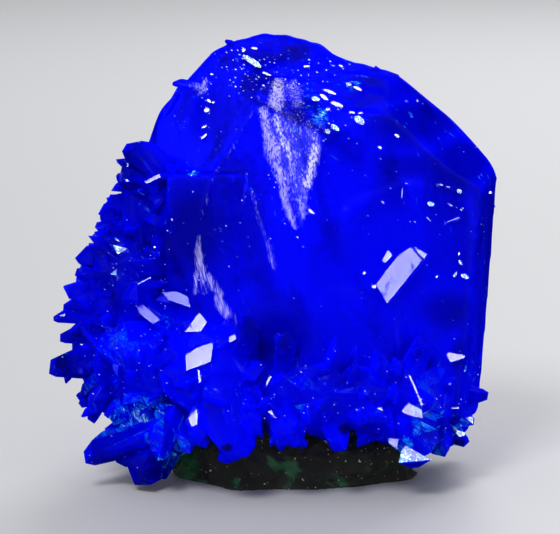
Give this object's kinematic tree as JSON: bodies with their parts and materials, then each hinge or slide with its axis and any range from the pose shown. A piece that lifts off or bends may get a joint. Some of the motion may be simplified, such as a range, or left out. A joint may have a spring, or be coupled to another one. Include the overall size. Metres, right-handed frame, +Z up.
{
  "type": "chalcanthite specimen",
  "caption": "A great rounded translucent blue crystal rising from a crust of small bladed crystals, on a lump of dark rock with a flat underside.",
  "frame": {"origin": "on the surface the specimen rests on, below the middle of its bounding box", "axes": "+Z up; +X to the right and -Y toward the viewer, as the specimen is shown, with the striated face of the great crystal in front"},
  "size_m": [0.0898, 0.0638, 0.0871],
  "materials": {
    "chalcanthite": "deep electric-blue translucent crystal, glossy flat faces, striated and etched to pale lilac in patches",
    "dark_rock": "rough, nearly black rock with dull green specks"
  },
  "bodies": {
    "root": {"crystals": "chalcanthite", "matrix": "dark_rock"}
  },
  "joints": []
}
